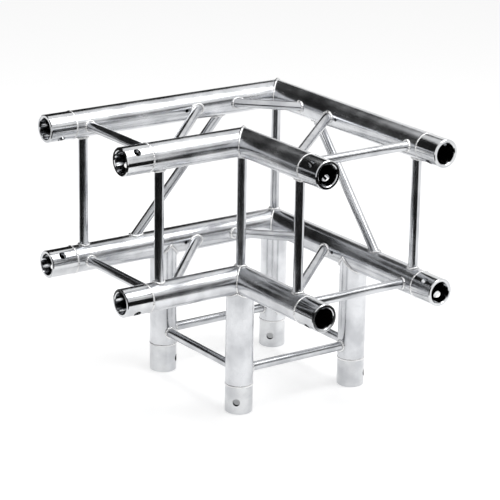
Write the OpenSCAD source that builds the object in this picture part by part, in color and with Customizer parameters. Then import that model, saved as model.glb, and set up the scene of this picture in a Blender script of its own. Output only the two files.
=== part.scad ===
// Three way truss corner in welded aluminium tube: two level arms at a right angle and one leg
// down, all of the same square four chord section, with a turned receiver on every chord end.
// The origin is on the floor plane, at the middle of the four leg ends. Arms run along +X and +Y.

/* [Section] */
// Distance between the axes of neighbouring chord tubes
chord_centres = 239; // [200:1:300]
// Outer diameter of the chord tubes and of the receivers
chord_d = 48; // [44:1:52]
// Wall of the chord tubes
chord_wall = 3; // [2:0.5:4]
// Outer diameter of the braces
brace_d = 16; // [14:1:20]
// Wall of the braces
brace_wall = 2; // [1:0.5:3]

/* [Reach] */
// From the far face of the outer chords to the end of an arm
arm_reach = 500; // [450:5:800]
// From the top face of the truss to the end of the leg
leg_reach = 500; // [450:5:800]

/* [Bracing] */
// From the end of an arm or leg to the axis of its end frame
end_frame_setback = 74; // [66:1:90]
// Gap along the chord between the end frame and the diagonal that stops short of it
diagonal_setback = 20; // [18:1:26]
// From the corner axis to the start of the level diagonals, along the outer chord
level_diagonal_start = 163; // [160:1:180]
// From the corner axis to the top of the face diagonals, along the upper outer chord
face_diagonal_top = 104; // [96:1:118]
// From the corner axis to the foot of the face diagonals, along the lower outer chord
face_diagonal_foot = 318; // [290:1:330]
// From the corner axis to the corner braces, along both outer chords
corner_brace_leg = 124; // [115:1:130]

/* [Receivers] */
// Length of a receiver outside its chord tube
receiver_len = 50; // [44:1:56]
// Length of the spigot that sits in the chord tube
spigot_len = 22; // [15:1:30]
// Gap all round between spigot and chord tube
spigot_clearance = 0.15; // [0.1:0.05:0.3]
// Bore at the mouth of the tapered seat
seat_mouth_d = 36; // [32:1:38]
// Bore at the bottom of the tapered seat
seat_bottom_d = 30; // [26:1:31]
// Chamfer round the mouth, inside and out
mouth_chamfer = 1.2; // [0.5:0.1:2]
// Diameter of the cross hole for the coupling pin
pin_hole_d = 13; // [10:0.5:14]
// From the receiver's end to the axis of its pin hole
pin_hole_setback = 22; // [18:1:26]

/* [Welds] */
// Leg of the weld fillets round the brace ends
weld_leg = 3; // [2:0.5:4]
// Depth of the weld groove between tube and receiver
groove_depth = 1.5; // [1:0.25:2]
// How far the bead stands proud of its groove
bead_crown = 0.8; // [0.3:0.1:1.5]

/* [Vents] */
// Diameter of the vent holes in the outer chords
vent_d = 6.5; // [4:0.5:8]
// From the foot of the level diagonal's weld to the vent hole
vent_gap = 4; // [2:1:8]

/* [Hidden] */
$fn = 48;

chord_r = chord_d / 2;
bore_r = chord_r - chord_wall;
brace_r = brace_d / 2;
tube_colour = [0.80, 0.81, 0.82];
turned_colour = [0.70, 0.71, 0.73];
weld_colour = [0.90, 0.90, 0.91];
// Cutting tools run this far past what they cut
over = 1;
// Root gap between a tube's cut end and the tube it is welded to
root_gap = 0.2;
// Gap between the faces of a weld and what it lies on
contact_gap = 0.05;
// A fillet climbs this share of its leg away from the chord
crown_share = 0.8;
// Straight land between the bottom of the tapered seat and the weld
bottom_land = 4;

// The chord axes: o is the outer corner, i the inner one, lo and up are the two levels
o = -chord_centres / 2;
i = chord_centres / 2;
leg_len = leg_reach - chord_r - chord_centres;
lo = leg_len;
up = leg_len + chord_centres;
arm_len = arm_reach - chord_r;

// Stations along an arm, from the axis of the outer corner
arm_end = o + arm_len;
frame_at = arm_end - end_frame_setback;
diagonal_end = frame_at - diagonal_setback;
diagonal_start = o + level_diagonal_start;
leg_frame_at = end_frame_setback;
face_top = o + face_diagonal_top;
face_foot = o + face_diagonal_foot;
brace_at = o + corner_brace_leg;
// The level diagonal leaves the chord's side this far along, and the vent is just beyond its weld
diagonal_slope = (diagonal_end - diagonal_start) / chord_centres;
diagonal_foot = (brace_r + weld_leg) * sqrt(1 + diagonal_slope * diagonal_slope);
vent_at = diagonal_start + diagonal_slope * chord_r + diagonal_foot + vent_gap + vent_d / 2;
// The chord tube stops at its receiver
tube_end = arm_end - receiver_len;

// Swaps X and Y, which turns a piece of the X arm into the matching piece of the Y arm
module swap_arms() { mirror([1, -1, 0]) children(); }

// A solid round bar between two points
module bar(a, b, r) {
    d = b - a;
    len = norm(d);
    translate(a)
        rotate([0, acos(d[2] / len), atan2(d[1], d[0])])
            cylinder(h = len, r = r);
}

// The half space beyond the mitre of the X arm's tubes at the corner c, to be cut away
module past_mitre(c, z) {
    side = 4 * chord_d;
    translate([c, c, z - chord_d])
        rotate([0, 0, 45])
            translate([-side, 0, 0])
                cube([2 * side, side, 2 * chord_d]);
}

// A solid bar along a chord of the X arm, mitred at the corner c
module mitred_bar(c, z, r, end) {
    difference() {
        bar([c - 2 * r, c, z], [end, c, z], r);
        past_mitre(c, z);
    }
}

// Both mitred bars of a corner, as solid as a cutter needs them
module corner_bars(c, z, r) {
    mitred_bar(c, z, r, c + 2 * chord_d);
    swap_arms() mitred_bar(c, z, r, c + 2 * chord_d);
}

// The tube end's half of the weld groove, round an axis that runs up from the groove
module groove_cut() {
    rotate_extrude()
        polygon([
            [chord_r - groove_depth, -over], [chord_r - groove_depth, 0],
            [chord_r + over, groove_depth + over], [chord_r + over, -over]
        ]);
}

// Turns a piece that is drawn upright at the origin into one that runs inward from an arm's end
module at_arm_end(x, y, z) { translate([x, y, z]) rotate([0, -90, 0]) children(); }

// A chord tube of the X arm, mitred at the corner c
module arm_chord(c, z) {
    color(tube_colour)
        difference() {
            mitred_bar(c, z, chord_r, tube_end);
            bar([c - 2 * chord_d, c, z], [tube_end + over, c, z], bore_r);
            at_arm_end(tube_end, c, z) groove_cut();
        }
}

// An outer chord also has a vent hole that faces the inner chord, beside the level diagonal
module outer_arm_chord(z) {
    color(tube_colour)
        difference() {
            arm_chord(o, z);
            bar([vent_at, o, z], [vent_at, o + chord_r + over, z], vent_d / 2);
        }
}

// A leg tube up to the lower chords, with its head cut to the saddle that the children make
module leg_chord(x, y) {
    color(tube_colour)
        difference() {
            bar([x, y, receiver_len], [x, y, lo], chord_r);
            bar([x, y, receiver_len - over], [x, y, lo + over], bore_r);
            translate([x, y, receiver_len]) groove_cut();
            children();
        }
}

// A turned receiver standing on its mouth, with the pin hole across it at the given angle
module receiver(pin_angle) {
    mouth_r = seat_mouth_d / 2;
    bottom_r = seat_bottom_d / 2;
    spigot_r = bore_r - spigot_clearance;
    top = receiver_len + spigot_len;
    seat_depth = receiver_len - bottom_land;
    color(turned_colour)
        difference() {
            rotate_extrude()
                polygon([
                    [mouth_r + mouth_chamfer, 0], [chord_r - mouth_chamfer, 0],
                    [chord_r, mouth_chamfer], [chord_r, receiver_len - groove_depth],
                    [chord_r - groove_depth, receiver_len], [spigot_r, receiver_len],
                    [spigot_r, top - mouth_chamfer], [spigot_r - mouth_chamfer, top],
                    [bottom_r, top], [bottom_r, seat_depth], [mouth_r, mouth_chamfer]
                ]);
            rotate([0, 0, pin_angle])
                bar([-chord_d, 0, pin_hole_setback], [chord_d, 0, pin_hole_setback], pin_hole_d / 2);
        }
}

// Pin holes lie on the diagonals of the section, so one pair runs one way and one the other
module arm_receiver(c, z) {
    same = (c > 0) == (z > lo);
    at_arm_end(arm_end, c, z) receiver(same ? 45 : -45);
}
module leg_receiver(x, y) { translate([x, y, 0]) receiver(x * y > 0 ? 45 : -45); }

// A short bar along a chord's axis at a point, which is what a brace is fitted round
module chord_at(p, dir, r) {
    reach = 2 * chord_d;
    bar(p - reach * dir, p + reach * dir, r);
}

// A brace between the chord axes at a and b, each end cut to the chord that runs along its dir
module brace(a, b, dir_a, dir_b) {
    color(tube_colour)
        difference() {
            bar(a, b, brace_r);
            bar(a, b, brace_r - brace_wall);
            chord_at(a, dir_a, chord_r + root_gap);
            chord_at(b, dir_b, chord_r + root_gap);
        }
}

// The weld fillet round the foot at a of a tube of radius r that leaves for b
module foot_weld(a, b, dir_a, r) {
    color(weld_colour)
        difference() {
            intersection() {
                bar(a, a + 2 * chord_d * (b - a) / norm(b - a), r + weld_leg);
                chord_at(a, dir_a, chord_r + crown_share * weld_leg);
            }
            bar(a, a + 3 * chord_d * (b - a) / norm(b - a), r + contact_gap);
            chord_at(a, dir_a, chord_r + contact_gap);
        }
}
module brace_welds(a, b, dir_a, dir_b) {
    foot_weld(a, b, dir_a, brace_r);
    foot_weld(b, a, dir_b, brace_r);
}

// The bead that fills the groove between a tube and its receiver, round an upright axis
module ring_weld() {
    color(weld_colour)
        translate([0, 0, receiver_len])
            rotate_extrude()
                polygon(concat(
                    [[chord_r - groove_depth + contact_gap, 0]],
                    [for (a = [-80:20:80])
                        [chord_r + bead_crown * cos(a), (groove_depth + contact_gap) * sin(a)]]
                ));
}

// The bead over a mitre seam, left open where the children stand on it
module mitre_weld(c, z) {
    color(weld_colour)
        difference() {
            intersection() {
                corner_bars(c, z, chord_r + bead_crown);
                translate([c, c, z])
                    rotate([0, 0, 45])
                        cube([4 * chord_d, 2 * weld_leg, 2 * chord_d], center = true);
            }
            corner_bars(c, z, chord_r + contact_gap);
            children();
        }
}

// A corner post stands between the mitres of one corner
module corner_post(c) {
    color(tube_colour)
        difference() {
            bar([c, c, lo], [c, c, up], brace_r);
            bar([c, c, lo - over], [c, c, up + over], brace_r - brace_wall);
            corner_bars(c, lo, chord_r + root_gap);
            corner_bars(c, up, chord_r + root_gap);
        }
}

// The fillet round a tube of radius r that meets a mitred corner, from a up or down to b
module corner_foot_weld(c, z, away, r) {
    color(weld_colour)
        difference() {
            intersection() {
                bar([c, c, z], [c, c, z + away * chord_d], r + weld_leg);
                corner_bars(c, z, chord_r + crown_share * weld_leg);
            }
            bar([c, c, z - away], [c, c, z + away * 2 * chord_d], r + contact_gap);
            corner_bars(c, z, chord_r + contact_gap);
        }
}

// Ends of the braces of the X arm, each a pair of points on the chord axes
x_dir = [1, 0, 0];
y_dir = [0, 1, 0];
z_dir = [0, 0, 1];
upper_diagonal = [[diagonal_start, o, up], [diagonal_end, i, up]];
lower_diagonal = [[diagonal_start, o, lo], [diagonal_end, i, lo]];
face_diagonal = [[face_top, o, up], [face_foot, o, lo]];
end_outer_post = [[frame_at, o, lo], [frame_at, o, up]];
end_inner_post = [[frame_at, i, lo], [frame_at, i, up]];
end_upper_brace = [[frame_at, o, up], [frame_at, i, up]];
end_lower_brace = [[frame_at, o, lo], [frame_at, i, lo]];
arm_braces = [upper_diagonal, lower_diagonal, face_diagonal,
              end_outer_post, end_inner_post, end_upper_brace, end_lower_brace];
module arm_brace(ends) { brace(ends[0], ends[1], x_dir, x_dir); }

// The corner braces cross the outer corner from one arm to the other
module corner_brace(z) { brace([brace_at, o, z], [o, brace_at, z], x_dir, y_dir); }

// The ring of braces low on the leg, as pairs of points on the leg's chord axes
outer_x_ring = [[o, o, leg_frame_at], [i, o, leg_frame_at]];
outer_y_ring = [[o, o, leg_frame_at], [o, i, leg_frame_at]];
inner_x_ring = [[i, o, leg_frame_at], [i, i, leg_frame_at]];
inner_y_ring = [[o, i, leg_frame_at], [i, i, leg_frame_at]];
leg_rings = [outer_x_ring, outer_y_ring, inner_x_ring, inner_y_ring];
module leg_brace(ends) { brace(ends[0], ends[1], z_dir, z_dir); }

module x_upper_outer_chord() { outer_arm_chord(up); }
module x_upper_inner_chord() { arm_chord(i, up); }
module x_lower_outer_chord() { outer_arm_chord(lo); }
module x_lower_inner_chord() { arm_chord(i, lo); }
module y_upper_outer_chord() { swap_arms() x_upper_outer_chord(); }
module y_upper_inner_chord() { swap_arms() x_upper_inner_chord(); }
module y_lower_outer_chord() { swap_arms() x_lower_outer_chord(); }
module y_lower_inner_chord() { swap_arms() x_lower_inner_chord(); }

module leg_outer_chord() { leg_chord(o, o) corner_bars(o, lo, chord_r + root_gap); }
module leg_inner_chord() { leg_chord(i, i) corner_bars(i, lo, chord_r + root_gap); }
module leg_x_chord() { leg_chord(i, o) chord_at([i, o, lo], x_dir, chord_r + root_gap); }
module leg_y_chord() { swap_arms() leg_x_chord(); }

module x_upper_outer_receiver() { arm_receiver(o, up); }
module x_upper_inner_receiver() { arm_receiver(i, up); }
module x_lower_outer_receiver() { arm_receiver(o, lo); }
module x_lower_inner_receiver() { arm_receiver(i, lo); }
module y_upper_outer_receiver() { swap_arms() arm_receiver(o, up); }
module y_upper_inner_receiver() { swap_arms() arm_receiver(i, up); }
module y_lower_outer_receiver() { swap_arms() arm_receiver(o, lo); }
module y_lower_inner_receiver() { swap_arms() arm_receiver(i, lo); }
module leg_outer_receiver() { leg_receiver(o, o); }
module leg_x_receiver() { leg_receiver(i, o); }
module leg_y_receiver() { leg_receiver(o, i); }
module leg_inner_receiver() { leg_receiver(i, i); }

module outer_corner_post() { corner_post(o); }
module inner_corner_post() { corner_post(i); }
module upper_corner_brace() { corner_brace(up); }
module lower_corner_brace() { corner_brace(lo); }

module x_end_outer_post() { arm_brace(end_outer_post); }
module x_end_inner_post() { arm_brace(end_inner_post); }
module x_end_upper_brace() { arm_brace(end_upper_brace); }
module x_end_lower_brace() { arm_brace(end_lower_brace); }
module y_end_outer_post() { swap_arms() x_end_outer_post(); }
module y_end_inner_post() { swap_arms() x_end_inner_post(); }
module y_end_upper_brace() { swap_arms() x_end_upper_brace(); }
module y_end_lower_brace() { swap_arms() x_end_lower_brace(); }
module x_upper_diagonal() { arm_brace(upper_diagonal); }
module x_lower_diagonal() { arm_brace(lower_diagonal); }
module x_face_diagonal() { arm_brace(face_diagonal); }
module y_upper_diagonal() { swap_arms() x_upper_diagonal(); }
module y_lower_diagonal() { swap_arms() x_lower_diagonal(); }
module y_face_diagonal() { swap_arms() x_face_diagonal(); }

module leg_outer_x_brace() { leg_brace(outer_x_ring); }
module leg_outer_y_brace() { leg_brace(outer_y_ring); }
module leg_inner_x_brace() { leg_brace(inner_x_ring); }
module leg_inner_y_brace() { leg_brace(inner_y_ring); }

// Mitre seams, the feet of the corner posts and of the corner braces
module corner_welds() {
    for (c = [o, i]) {
        mitre_weld(c, up)
            bar([c, c, up], [c, c, lo], brace_r + weld_leg + contact_gap);
        mitre_weld(c, lo) {
            bar([c, c, lo], [c, c, up], brace_r + weld_leg + contact_gap);
            bar([c, c, lo], [c, c, 0], chord_r + weld_leg + contact_gap);
        }
        corner_foot_weld(c, lo, 1, brace_r);
        corner_foot_weld(c, up, -1, brace_r);
    }
    for (z = [lo, up])
        brace_welds([brace_at, o, z], [o, brace_at, z], x_dir, y_dir);
}

// Beads round every receiver and brace foot of the X arm
module x_arm_welds() {
    for (c = [o, i], z = [lo, up])
        at_arm_end(arm_end, c, z) ring_weld();
    for (ends = arm_braces)
        brace_welds(ends[0], ends[1], x_dir, x_dir);
}
module y_arm_welds() { swap_arms() x_arm_welds(); }

// Beads round the leg's receivers, its ring of braces and the heads of its tubes
module leg_welds() {
    for (x = [o, i], y = [o, i])
        translate([x, y, 0]) ring_weld();
    for (ends = leg_rings)
        brace_welds(ends[0], ends[1], z_dir, z_dir);
    foot_weld([i, o, lo], [i, o, 0], x_dir, chord_r);
    foot_weld([o, i, lo], [o, i, 0], y_dir, chord_r);
    corner_foot_weld(o, lo, -1, chord_r);
    corner_foot_weld(i, lo, -1, chord_r);
}

x_upper_outer_chord();
x_upper_inner_chord();
x_lower_outer_chord();
x_lower_inner_chord();
y_upper_outer_chord();
y_upper_inner_chord();
y_lower_outer_chord();
y_lower_inner_chord();
leg_outer_chord();
leg_x_chord();
leg_y_chord();
leg_inner_chord();
x_upper_outer_receiver();
x_upper_inner_receiver();
x_lower_outer_receiver();
x_lower_inner_receiver();
y_upper_outer_receiver();
y_upper_inner_receiver();
y_lower_outer_receiver();
y_lower_inner_receiver();
leg_outer_receiver();
leg_x_receiver();
leg_y_receiver();
leg_inner_receiver();
outer_corner_post();
inner_corner_post();
upper_corner_brace();
lower_corner_brace();
x_end_outer_post();
x_end_inner_post();
x_end_upper_brace();
x_end_lower_brace();
y_end_outer_post();
y_end_inner_post();
y_end_upper_brace();
y_end_lower_brace();
x_upper_diagonal();
x_lower_diagonal();
x_face_diagonal();
y_upper_diagonal();
y_lower_diagonal();
y_face_diagonal();
leg_outer_x_brace();
leg_outer_y_brace();
leg_inner_x_brace();
leg_inner_y_brace();
corner_welds();
x_arm_welds();
y_arm_welds();
leg_welds();
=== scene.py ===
import math
import bmesh
import bpy
from mathutils import Matrix, Vector, noise


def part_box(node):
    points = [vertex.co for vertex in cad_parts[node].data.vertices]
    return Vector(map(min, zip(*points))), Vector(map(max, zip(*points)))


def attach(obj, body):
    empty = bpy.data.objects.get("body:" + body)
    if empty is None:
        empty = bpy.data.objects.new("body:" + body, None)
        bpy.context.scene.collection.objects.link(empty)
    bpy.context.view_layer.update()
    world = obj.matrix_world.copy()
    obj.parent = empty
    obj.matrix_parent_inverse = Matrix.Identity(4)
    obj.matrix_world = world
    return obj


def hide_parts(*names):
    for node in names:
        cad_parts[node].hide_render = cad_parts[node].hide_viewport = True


# A welded aluminium truss corner: the tubes keep the frame's shapes, the receivers are turned and
# drilled anew with rounder walls, and rippled weld beads take the place of the frame's plain ones
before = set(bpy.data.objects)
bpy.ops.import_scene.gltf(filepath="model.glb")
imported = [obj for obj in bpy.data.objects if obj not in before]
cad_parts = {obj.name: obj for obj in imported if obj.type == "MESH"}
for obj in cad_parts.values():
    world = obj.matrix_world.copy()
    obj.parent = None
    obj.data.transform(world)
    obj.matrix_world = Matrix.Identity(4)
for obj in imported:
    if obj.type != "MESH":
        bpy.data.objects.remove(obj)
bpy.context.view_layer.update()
print("frame loaded:", len(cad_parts), "nodes")

def linked(name, data):
    made = bpy.data.objects.new(name, data)
    bpy.context.scene.collection.objects.link(made)
    return made


def meshFrom(shape, name):
    mesh = bpy.data.meshes.new(name)
    shape.to_mesh(mesh)
    shape.free()
    return mesh


def shownMesh(shown):
    graph = bpy.context.evaluated_depsgraph_get()
    return bpy.data.meshes.new_from_object(shown.evaluated_get(graph))


def seatPiece(piece, node):
    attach(piece, "root")
    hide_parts(node)
    return piece


# Camera: the photo's angle on a 500 x 500 frame
photoCamera = {
    "azimuth": 144.93,      # degrees
    "elevation": 18.0,
    "roll": 0.905,
    "distance": 4.0,        # metres from the aim
    "aim": (0.0592, 0.0602, 0.2610),
    "lens": 168.2,
}


def makeCamera(settings):
    camera = linked("camera", bpy.data.cameras.new("camera"))
    turn = math.radians(settings["azimuth"])
    rise = math.radians(settings["elevation"])
    back = Vector((math.sin(turn) * math.cos(rise), -math.cos(turn) * math.cos(rise), math.sin(rise)))
    camera.location = Vector(settings["aim"]) + back * settings["distance"]
    level = (-back).to_track_quat("-Z", "Y").to_matrix().to_4x4()
    tilt = Matrix.Rotation(math.radians(settings["roll"]), 4, "Z")
    camera.rotation_mode = "QUATERNION"
    camera.rotation_quaternion = (level @ tilt).to_quaternion()
    camera.data.lens = settings["lens"]
    camera.data.clip_end = 50
    bpy.context.scene.camera = camera


makeCamera(photoCamera)
print("camera ready")

# What the welds follow, in metres: the frame gives the tubes, the rest are the bracing's stations
bracing = {
    "braceRadius": 0.008,
    "levelStart": 0.163,     # level diagonals, from the corner axis along the outer chord
    "diagonalSetback": 0.020,
    "faceTop": 0.104,
    "faceFoot": 0.318,
    "cornerLeg": 0.124,
    "receiverLength": 0.050,
}


def chordAxis(node, across):
    low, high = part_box(node)
    return (low[across] + high[across]) / 2


outer = chordAxis("x_upper_outer_chord", 1)
inner = chordAxis("x_upper_inner_chord", 1)
lower = chordAxis("x_lower_outer_chord", 2)
upper = chordAxis("x_upper_outer_chord", 2)
chordRadius = (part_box("leg_x_chord")[1].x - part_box("leg_x_chord")[0].x) / 2
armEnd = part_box("x_upper_outer_receiver")[1].x
endFrame = chordAxis("x_end_outer_post", 0)
legRing = chordAxis("leg_outer_x_brace", 2)
alongX, alongY, alongZ = Vector((1, 0, 0)), Vector((0, 1, 0)), Vector((0, 0, 1))


# Every foot is (point on the chord's axis, point at the brace's other end, the chord's direction)
def bothFeet(a, b, direction, otherDirection=None):
    a, b = Vector(a), Vector(b)
    return [(a, b, direction), (b, a, otherDirection or direction)]


def armFeet():
    diagonalEnd = endFrame - bracing["diagonalSetback"]
    start = outer + bracing["levelStart"]
    feet = []
    for level in (lower, upper):
        feet += bothFeet((start, outer, level), (diagonalEnd, inner, level), alongX)
        feet += bothFeet((endFrame, outer, level), (endFrame, inner, level), alongX)
    for side in (outer, inner):
        feet += bothFeet((endFrame, side, lower), (endFrame, side, upper), alongX)
    top, foot = outer + bracing["faceTop"], outer + bracing["faceFoot"]
    feet += bothFeet((top, outer, upper), (foot, outer, lower), alongX)
    return feet


def legFeet():
    corners = [(outer, outer), (inner, outer), (inner, inner), (outer, inner)]
    feet = []
    for k, (x, y) in enumerate(corners):
        nextX, nextY = corners[(k + 1) % 4]
        feet += bothFeet((x, y, legRing), (nextX, nextY, legRing), alongZ)
    return feet


def cornerFeet():
    reach = outer + bracing["cornerLeg"]
    feet = []
    for level in (lower, upper):
        feet += bothFeet((reach, outer, level), (outer, reach, level), alongX, alongY)
    return feet


# Weld beads: a torch laid ripple every couple of millimetres, each a little different
bead = {
    "radius": 0.0026,
    "ringRadius": 0.0032,
    "ringSunk": 0.0022,       # how far the round bead's centre lies under the tube's face
    "seamRadius": 0.0030,
    "seamSunk": 0.0016,
    "headRadius": 0.0030,
    "ripple": 0.0026,
    "rippleDepth": 0.20,
    "stepsPerRipple": 5,
    "lift": 0.0006,           # the bead's centre stands this far out of the joint's corner
    "fewestSteps": 24,
    "saddleStretch": 1.15,    # a saddle's path over the tube's plain girth
    "seamStretch": 1.2,
    "wanderScale": 260.0,     # per metre
    "wanderSwell": 0.10,
    "wanderShift": 0.0003,
    "profileSteps": 2,
}


def stepsAround(length):
    return max(bead["fewestSteps"], round(length / bead["ripple"]) * bead["stepsPerRipple"])


def saddlePoint(foot, tubeRadius, radius, angle):
    a, b, direction = foot
    along = (b - a).normalized()
    side = along.orthogonal().normalized()
    other = along.cross(side)
    offset = tubeRadius * (side * math.cos(angle) + other * math.sin(angle))
    flat = offset - offset.dot(direction) * direction
    climb = along - along.dot(direction) * direction
    mixed = flat.dot(climb)
    inside = max(0.0, mixed * mixed - climb.length_squared * (flat.length_squared - radius * radius))
    return a + offset + along * ((math.sqrt(inside) - mixed) / climb.length_squared)


def footPath(foot, tubeRadius):
    steps = stepsAround(math.tau * tubeRadius * bead["saddleStretch"])
    lift = bead["lift"]
    angles = [math.tau * k / steps for k in range(steps)]
    return [saddlePoint(foot, tubeRadius + lift, chordRadius + lift, t) for t in angles]


def cornerPath(corner, level, away, tubeRadius):
    # The tube stands on a mitred corner, so each side follows its own chord
    steps = stepsAround(math.tau * tubeRadius * bead["saddleStretch"])
    wide, deep = tubeRadius + bead["lift"], chordRadius + bead["lift"]
    points = []
    for k in range(steps):
        t = math.tau * k / steps
        x, y = wide * math.cos(t), wide * math.sin(t)
        across = y if x > y else x
        rise = math.sqrt(max(0.0, deep * deep - across * across))
        points.append(Vector((corner + x, corner + y, level + away * rise)))
    return points


def seamPath(corner, level):
    radius = chordRadius - bead["seamSunk"] + bead["lift"]
    steps = stepsAround(math.tau * radius * bead["seamStretch"])
    points = []
    for k in range(steps):
        t = math.tau * k / steps
        reach = radius * math.cos(t)
        points.append(Vector((corner + reach, corner + reach, level + radius * math.sin(t))))
    return points


def ringPath(centre, axis):
    radius = chordRadius - bead["ringSunk"]
    steps = stepsAround(math.tau * radius)
    side = axis.orthogonal().normalized()
    other = axis.cross(side)
    angles = [math.tau * k / steps for k in range(steps)]
    return [centre + radius * (side * math.cos(t) + other * math.sin(t)) for t in angles]


def swapArms(paths):
    return [([Vector((p.y, p.x, p.z)) for p in points], radius) for points, radius in paths]


def layBeads(name, paths, node):
    curve = bpy.data.curves.new(name + "Path", "CURVE")
    curve.dimensions = "3D"
    curve.bevel_depth = 1.0
    curve.bevel_resolution = bead["profileSteps"]
    for points, radius in paths:
        spline = curve.splines.new("POLY")
        spline.points.add(len(points) - 1)
        spline.use_cyclic_u = True
        for k, point in enumerate(points):
            wander = noise.noise(point * bead["wanderScale"])
            phase = math.pi * k / bead["stepsPerRipple"]
            swell = 1 - bead["rippleDepth"] * (1 - abs(math.cos(phase))) + bead["wanderSwell"] * wander
            shift = bead["wanderShift"] * wander * point.normalized()
            spline.points[k].co = (*(point + shift), 1)
            spline.points[k].radius = radius * swell
    laid = linked(name + "Curve", curve)
    sheet = bmesh.new()
    sheet.from_mesh(shownMesh(laid))
    bpy.data.objects.remove(laid)
    bmesh.ops.remove_doubles(sheet, verts=sheet.verts, dist=1e-7)
    bmesh.ops.recalc_face_normals(sheet, faces=sheet.faces)
    for face in sheet.faces:
        face.smooth = True
    return seatPiece(linked(name, meshFrom(sheet, name)), node)


def armPaths():
    joint = armEnd - bracing["receiverLength"]
    paths = [(footPath(foot, bracing["braceRadius"]), bead["radius"]) for foot in armFeet()]
    for side in (outer, inner):
        for level in (lower, upper):
            paths.append((ringPath(Vector((joint, side, level)), alongX), bead["ringRadius"]))
    return paths


def legPaths():
    joint = bracing["receiverLength"]
    paths = [(footPath(foot, bracing["braceRadius"]), bead["radius"]) for foot in legFeet()]
    for x in (outer, inner):
        for y in (outer, inner):
            paths.append((ringPath(Vector((x, y, joint)), alongZ), bead["ringRadius"]))
    for corner in (outer, inner):
        paths.append((cornerPath(corner, lower, -1, chordRadius), bead["headRadius"]))
    heads = [(Vector((inner, outer, lower)), alongX), (Vector((outer, inner, lower)), alongY)]
    for head, direction in heads:
        paths.append((footPath((head, head - alongZ, direction), chordRadius), bead["headRadius"]))
    return paths


def cornerPaths():
    paths = [(footPath(foot, bracing["braceRadius"]), bead["radius"]) for foot in cornerFeet()]
    for corner in (outer, inner):
        paths.append((cornerPath(corner, lower, 1, bracing["braceRadius"]), bead["radius"]))
        paths.append((cornerPath(corner, upper, -1, bracing["braceRadius"]), bead["radius"]))
        for level in (lower, upper):
            paths.append((seamPath(corner, level), bead["seamRadius"]))
    return paths


beadPieces = [
    layBeads("xArmBeads", armPaths(), "x_arm_welds"),
    layBeads("yArmBeads", swapArms(armPaths()), "y_arm_welds"),
    layBeads("legBeads", legPaths(), "leg_welds"),
    layBeads("cornerBeads", cornerPaths(), "corner_welds"),
]
print("beads laid:", sum(len(piece.data.polygons) for piece in beadPieces), "faces")


def pieceName(node):
    words = node.split("_")
    return words[0] + "".join(word.title() for word in words[1:])


def smoothRounds(shape, sharpAngle):
    for face in shape.faces:
        face.smooth = True
    for edge in shape.edges:
        edge.smooth = edge.is_manifold and edge.calc_face_angle(0) < math.radians(sharpAngle)


# Tubes: a merged copy of each node, smooth over its rounds and sharp at its cuts
tube = {"sharpAngle": 28, "mergeDistance": 1e-6}


def makeTube(node):
    shape = bmesh.new()
    shape.from_mesh(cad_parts[node].data)
    bmesh.ops.remove_doubles(shape, verts=shape.verts, dist=tube["mergeDistance"])
    smoothRounds(shape, tube["sharpAngle"])
    return seatPiece(linked(pieceName(node), meshFrom(shape, node + "Shape")), node)


# Receiver: the sizes of the part's own receiver in metres, turned in finer steps
receiver = {
    "chamfer": 0.0012,
    "seatMouth": 0.0180,      # radii
    "seatBottom": 0.0150,
    "spigot": 0.02085,
    "spigotLength": 0.022,
    "bottomLand": 0.004,      # straight bore left below the taper, to the receiver's inner end
    "groove": 0.0015,
    "pinHole": 0.0065,
    "pinSetback": 0.022,
    "drillLength": 0.080,
    "steps": 96,
    "drillSteps": 64,
    "sharpAngle": 22,
}


def receiverProfile():
    # Points are (radius, height from the open end)
    chamfer, groove, spigot = receiver["chamfer"], receiver["groove"], receiver["spigot"]
    mouth, bottom = receiver["seatMouth"], receiver["seatBottom"]
    length = bracing["receiverLength"]
    top = length + receiver["spigotLength"]
    return [
        (mouth + chamfer, 0), (chordRadius - chamfer, 0), (chordRadius, chamfer),
        (chordRadius, length - groove), (chordRadius - groove, length), (spigot, length),
        (spigot, top - chamfer), (spigot - chamfer, top), (bottom, top),
        (bottom, length - receiver["bottomLand"]), (mouth, chamfer),
    ]


def receiverPlace(node):
    # The receiver's own Z runs from its open end along the chord, its X along the pin hole
    low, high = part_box(node)
    middle = (Vector(low) + Vector(high)) / 2
    if node.startswith("leg"):
        end, axis = Vector((middle.x, middle.y, low[2])), alongZ
        side = Vector((1, 1 if middle.x * middle.y > 0 else -1, 0))
    else:
        across = middle.y if node.startswith("x") else middle.x
        slant = 1 if (across > 0) == ("upper" in node) else -1
        if node.startswith("x"):
            end, axis, side = Vector((high[0], middle.y, middle.z)), -alongX, Vector((0, slant, 1))
        else:
            end, axis, side = Vector((middle.x, high[1], middle.z)), -alongY, Vector((slant, 0, 1))
    side.normalize()
    turned = Matrix((side, axis.cross(side), axis)).transposed().to_4x4()
    return Matrix.Translation(end) @ turned


def turnReceiver(node, place):
    shape = bmesh.new()
    ring = [shape.verts.new((radius, 0, height)) for radius, height in receiverProfile()]
    edges = [shape.edges.new((a, b)) for a, b in zip(ring, ring[1:] + ring[:1])]
    bmesh.ops.spin(shape, geom=ring + edges, cent=(0, 0, 0), axis=(0, 0, 1),
                   angle=math.tau, steps=receiver["steps"], use_merge=True)
    bmesh.ops.remove_doubles(shape, verts=shape.verts, dist=tube["mergeDistance"])
    bmesh.ops.recalc_face_normals(shape, faces=shape.faces)
    bmesh.ops.transform(shape, matrix=place, verts=shape.verts)
    return linked(pieceName(node), meshFrom(shape, node + "Turned"))


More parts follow.
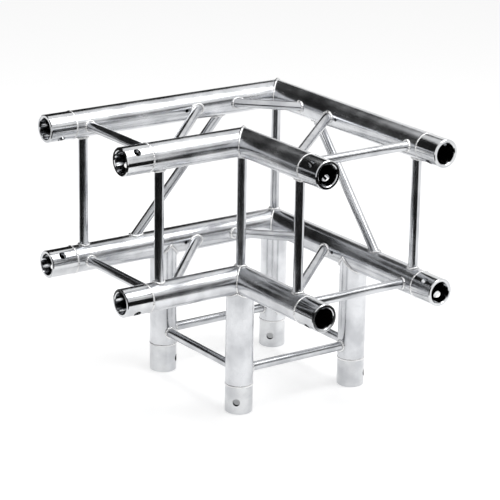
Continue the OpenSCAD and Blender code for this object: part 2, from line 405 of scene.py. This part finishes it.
def drillReceiver(piece, node, place):
    drill = bmesh.new()
    across = Matrix.Translation((0, 0, receiver["pinSetback"])) @ Matrix.Rotation(math.pi / 2, 4, "Y")
    bmesh.ops.create_cone(
        drill, cap_ends=True, segments=receiver["drillSteps"], radius1=receiver["pinHole"],
        radius2=receiver["pinHole"], depth=receiver["drillLength"], matrix=place @ across)
    cutter = linked(node + "Cutter", meshFrom(drill, node + "Drill"))
    cut = piece.modifiers.new("pinHole", "BOOLEAN")
    cut.operation = "DIFFERENCE"
    cut.object = cutter
    cut.solver = "EXACT"
    drilled = shownMesh(piece)
    piece.modifiers.clear()
    bpy.data.objects.remove(cutter)
    shape = bmesh.new()
    shape.from_mesh(drilled)
    smoothRounds(shape, receiver["sharpAngle"])
    shape.to_mesh(drilled)
    shape.free()
    piece.data = drilled


def makeReceiver(node):
    place = receiverPlace(node)
    piece = turnReceiver(node, place)
    drillReceiver(piece, node, place)
    return seatPiece(piece, node)


def makeGroup(name, inputs, outputs):
    tree = bpy.data.node_groups.new(name, "ShaderNodeTree")
    for label, kind, value in inputs:
        socket = tree.interface.new_socket(label, in_out="INPUT", socket_type=kind)
        if value is not None:
            socket.default_value = value
    for label, kind in outputs:
        tree.interface.new_socket(label, in_out="OUTPUT", socket_type=kind)
    return tree, tree.nodes.new("NodeGroupInput"), tree.nodes.new("NodeGroupOutput")


def mathNode(tree, operation, first, second):
    node = tree.nodes.new("ShaderNodeMath")
    node.operation = operation
    for socket, value in zip(node.inputs, (first, second)):
        if isinstance(value, (int, float)):
            socket.default_value = value
        else:
            tree.links.new(value, socket)
    return node.outputs[0]


def noiseNode(tree, vector, scale, detail):
    node = tree.nodes.new("ShaderNodeTexNoise")
    node.inputs["Scale"].default_value = scale
    node.inputs["Detail"].default_value = detail
    tree.links.new(vector, node.inputs["Vector"])
    return node.outputs["Fac"]


def stretched(tree, vector, amounts):
    node = tree.nodes.new("ShaderNodeVectorMath")
    node.operation = "MULTIPLY"
    node.inputs[1].default_value = amounts
    tree.links.new(vector, node.inputs[0])
    return node.outputs["Vector"]


# Tool marks: lines left by the die or the lathe, with the handling haze that lies over them
marking = {
    "fineLines": 3.1,        # times as fine as the plain lines
    "fineShare": 0.5,
    "hazeScale": 22.0,
    "spotScale": 160.0,
    "spotShare": 0.06,
    "middle": 0.5,
}


def awayFromMiddle(tree, value, share):
    return mathNode(tree, "MULTIPLY", mathNode(tree, "SUBTRACT", value, marking["middle"]), share)


def makeToolMarks():
    number = "NodeSocketFloat"
    tree, given, result = makeGroup(
        "toolMarks",
        [("Vector", "NodeSocketVector", None), ("Along", "NodeSocketVector", None),
         ("Roughness", number, 0.25), ("Line", number, 0.08), ("Haze", number, 0.12)],
        [("Roughness", number), ("Height", number), ("Haze", number)])
    multiply = tree.nodes.new("ShaderNodeVectorMath")
    multiply.operation = "MULTIPLY"
    tree.links.new(given.outputs["Vector"], multiply.inputs[0])
    tree.links.new(given.outputs["Along"], multiply.inputs[1])
    lines = noiseNode(tree, multiply.outputs["Vector"], 1.0, 3.0)
    finer = stretched(tree, multiply.outputs["Vector"], (marking["fineLines"],) * 3)
    fine = noiseNode(tree, finer, 1.0, 2.0)
    haze = noiseNode(tree, given.outputs["Vector"], marking["hazeScale"], 4.0)
    spots = noiseNode(tree, given.outputs["Vector"], marking["spotScale"], 3.0)
    lineShare = awayFromMiddle(tree, lines, given.outputs["Line"])
    hazeShare = awayFromMiddle(tree, haze, given.outputs["Haze"])
    spotShare = awayFromMiddle(tree, spots, marking["spotShare"])
    shares = mathNode(tree, "ADD", mathNode(tree, "ADD", lineShare, hazeShare), spotShare)
    tree.links.new(mathNode(tree, "ADD", given.outputs["Roughness"], shares), result.inputs["Roughness"])
    height = mathNode(tree, "ADD", lines, mathNode(tree, "MULTIPLY", fine, marking["fineShare"]))
    tree.links.new(height, result.inputs["Height"])
    tree.links.new(haze, result.inputs["Haze"])
    return tree


toolMarks = makeToolMarks()

# Finishes: colours are bright and dull metal, along stretches the marks on the piece's own axis
finishes = {
    "chord": {"bright": (0.70, 0.71, 0.73), "dull": (0.50, 0.51, 0.53), "roughness": 0.22,
              "line": 0.14, "haze": 0.22, "along": (6, 420, 420), "bump": 0.16},
    "brace": {"bright": (0.62, 0.63, 0.65), "dull": (0.44, 0.45, 0.47), "roughness": 0.19,
              "line": 0.10, "haze": 0.14, "along": (8, 900, 900), "bump": 0.10},
    "receiver": {"bright": (0.70, 0.71, 0.72), "dull": (0.52, 0.53, 0.55), "roughness": 0.12,
                 "line": 0.08, "haze": 0.10, "along": (1600, 18, 18), "bump": 0.12},
    "weld": {"bright": (0.88, 0.88, 0.88), "dull": (0.58, 0.58, 0.59), "roughness": 0.20,
             "line": 0.10, "haze": 0.20, "along": (500, 500, 500), "bump": 0.15},
}
tones = {"dullBelow": 0.35, "brightAbove": 0.60, "bumpHeight": 0.0002}


def makeMetal(name, finish, direction):
    values = finishes[finish]
    material = bpy.data.materials.new(name)
    material.use_nodes = True
    tree = material.node_tree
    shader = tree.nodes["Principled BSDF"]
    shader.inputs["Metallic"].default_value = 1.0
    place = tree.nodes.new("ShaderNodeTexCoord")
    turn = tree.nodes.new("ShaderNodeMapping")
    turn.inputs["Rotation"].default_value = direction.rotation_difference(alongX).to_euler()
    tree.links.new(place.outputs["Object"], turn.inputs["Vector"])
    marks = tree.nodes.new("ShaderNodeGroup")
    marks.node_tree = toolMarks
    for label in ("Along", "Roughness", "Line", "Haze"):
        marks.inputs[label].default_value = values[label.lower()]
    tree.links.new(turn.outputs["Vector"], marks.inputs["Vector"])
    tone = tree.nodes.new("ShaderNodeValToRGB")
    tone.color_ramp.elements[0].position = tones["dullBelow"]
    tone.color_ramp.elements[0].color = (*values["dull"], 1)
    tone.color_ramp.elements[1].position = tones["brightAbove"]
    tone.color_ramp.elements[1].color = (*values["bright"], 1)
    tree.links.new(marks.outputs["Haze"], tone.inputs["Fac"])
    tree.links.new(tone.outputs["Color"], shader.inputs["Base Color"])
    tree.links.new(marks.outputs["Roughness"], shader.inputs["Roughness"])
    bump = tree.nodes.new("ShaderNodeBump")
    bump.inputs["Strength"].default_value = values["bump"]
    bump.inputs["Distance"].default_value = tones["bumpHeight"]
    tree.links.new(marks.outputs["Height"], bump.inputs["Height"])
    tree.links.new(bump.outputs["Normal"], shader.inputs["Normal"])
    return material


def pieceDirection(node):
    # The way the piece's own axis runs, from its name and the bracing's stations
    run = endFrame - bracing["diagonalSetback"] - outer - bracing["levelStart"]
    level = Vector((run, inner - outer, 0))
    face = Vector((bracing["faceFoot"] - bracing["faceTop"], 0, lower - upper))
    if node.endswith(("upper_diagonal", "lower_diagonal")):
        direction = level
    elif node.endswith("face_diagonal"):
        direction = face
    elif node.endswith("corner_brace"):
        direction = Vector((1, -1, 0))
    elif node.endswith("post") or node.startswith("leg") and not node.endswith("brace"):
        direction = alongZ
    elif node in ("leg_outer_y_brace", "leg_inner_x_brace"):
        direction = alongY
    elif node.startswith("leg"):
        direction = alongX
    elif "end" in node:
        direction = alongY
    else:
        direction = alongX
    if node.startswith("y_"):
        direction = Vector((direction.y, direction.x, direction.z))
    return direction.normalized()


metals = {}
for node in sorted(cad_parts):
    if node.endswith("welds"):
        continue
    kind = node.split("_")[-1]
    finish = kind if kind in ("chord", "receiver") else "brace"
    direction = pieceDirection(node)
    key = (finish, tuple(round(value, 3) for value in direction))
    if key not in metals:
        metals[key] = makeMetal("%sMetal%02d" % (finish, len(metals)), finish, direction)
    piece = makeReceiver(node) if kind == "receiver" else makeTube(node)
    piece.data.materials.append(metals[key])
weldMetal = makeMetal("weldMetal", "weld", alongX)
for piece in beadPieces:
    piece.data.materials.append(weldMetal)
print("finished in", len(metals) + 1, "metals")

# Studio: a white floor and world, two soft boxes, and dark cards that only reflections show
studio = {
    "floorSize": 14.0,
    "floorRoughness": 0.9,
    "floorColor": 0.80,
    "floorGlow": 0.46,
    "worldFill": 0.55,
    "softBoxes": [  # place, aim, size, watts
        ((-0.5, 0.7, 2.2), (0.1, 0.1, 0.3), 1.4, 26),
        ((2.2, -0.6, 1.4), (0.1, 0.1, 0.3), 0.9, 9),
    ],
    "cards": [  # place, aim, width, height, grey
        ((0.30, -1.10, 0.95), (0.05, 0.05, 0.30), 2.8, 1.30, 0.02),
        ((1.30, 0.10, 0.90), (0.05, 0.05, 0.30), 0.6, 1.00, 0.05),
        ((-0.80, 1.20, 0.75), (0.05, 0.05, 0.30), 0.7, 0.50, 0.10),
    ],
    # Curved dark wall on the camera's side: it darkens the posts and misses the legs
    "wall": {"radius": 0.62, "from": -35, "to": 108, "low": 0.10, "high": 0.42, "grey": 0.015,
             "steps": 36},
}


def aimed(place, aim):
    view = (Vector(aim) - Vector(place)).to_track_quat("-Z", "Y").to_matrix().to_4x4()
    return Matrix.Translation(Vector(place)) @ view


def makeSheet(name, matrix, width, height):
    sheet = bmesh.new()
    bmesh.ops.create_grid(sheet, x_segments=1, y_segments=1, size=0.5)
    wide = matrix @ Matrix.Diagonal((width, height, 1, 1))
    bmesh.ops.transform(sheet, matrix=wide, verts=sheet.verts)
    made = linked(name, meshFrom(sheet, name))
    return made


def lightPathMask(tree):
    path = tree.nodes.new("ShaderNodeLightPath")
    seen = mathNode(tree, "MAXIMUM", path.outputs["Is Camera Ray"], path.outputs["Is Glossy Ray"])
    return mathNode(tree, "MAXIMUM", seen, path.outputs["Is Transmission Ray"])


def makeFloor():
    floor = makeSheet("floor", Matrix.Identity(4), studio["floorSize"], studio["floorSize"])
    material = bpy.data.materials.new("floorPaper")
    material.use_nodes = True
    tree = material.node_tree
    shader = tree.nodes["Principled BSDF"]
    tone = studio["floorColor"]
    shader.inputs["Base Color"].default_value = (tone, tone, tone, 1)
    shader.inputs["Roughness"].default_value = studio["floorRoughness"]
    shader.inputs["Specular IOR Level"].default_value = 0.0
    glow = mathNode(tree, "MULTIPLY", lightPathMask(tree), studio["floorGlow"])
    shader.inputs["Emission Color"].default_value = (1, 1, 1, 1)
    tree.links.new(glow, shader.inputs["Emission Strength"])
    floor.data.materials.append(material)


def makeWorld():
    world = bpy.data.worlds.new("studioWorld")
    bpy.context.scene.world = world
    world.use_nodes = True
    tree = world.node_tree
    background = tree.nodes["Background"]
    background.inputs["Color"].default_value = (1, 1, 1, 1)
    fill = studio["worldFill"]
    lifted = mathNode(tree, "MULTIPLY", lightPathMask(tree), 1 - fill)
    tree.links.new(mathNode(tree, "ADD", lifted, fill), background.inputs["Strength"])


def makeLights():
    for k, (place, aim, size, watts) in enumerate(studio["softBoxes"]):
        lamp = bpy.data.lights.new("softBox%d" % k, "AREA")
        lamp.size = size
        lamp.energy = watts
        holder = linked(lamp.name, lamp)
        holder.matrix_world = aimed(place, aim)


def darkPaper(name, grey):
    material = bpy.data.materials.new(name)
    material.use_nodes = True
    shader = material.node_tree.nodes["Principled BSDF"]
    shader.inputs["Base Color"].default_value = (grey, grey, grey, 1)
    shader.inputs["Specular IOR Level"].default_value = 0.0
    return material


def showOnlyInReflections(card):
    card.visible_camera = False
    card.visible_diffuse = False
    card.visible_shadow = False


def makeWall():
    wall = studio["wall"]
    shape = bmesh.new()
    start = shape.verts.new((wall["radius"], 0, wall["low"]))
    top = shape.verts.new((wall["radius"], 0, wall["high"]))
    side = shape.edges.new((start, top))
    turn = Matrix.Rotation(math.radians(wall["from"]), 4, "Z")
    bmesh.ops.transform(shape, matrix=turn, verts=shape.verts)
    bmesh.ops.spin(shape, geom=[start, top, side], cent=(0, 0, 0), axis=(0, 0, 1),
                   angle=math.radians(wall["to"] - wall["from"]), steps=wall["steps"])
    made = linked("wall", meshFrom(shape, "wall"))
    made.data.materials.append(darkPaper("wallPaper", wall["grey"]))
    showOnlyInReflections(made)


def makeCards():
    for k, (place, aim, width, height, grey) in enumerate(studio["cards"]):
        card = makeSheet("card%d" % k, aimed(place, aim), width, height)
        card.data.materials.append(darkPaper("card%dPaper" % k, grey))
        showOnlyInReflections(card)


makeFloor()
makeWorld()
makeLights()
makeCards()
makeWall()
bpy.context.scene.view_settings.view_transform = "Standard"
print("studio ready")
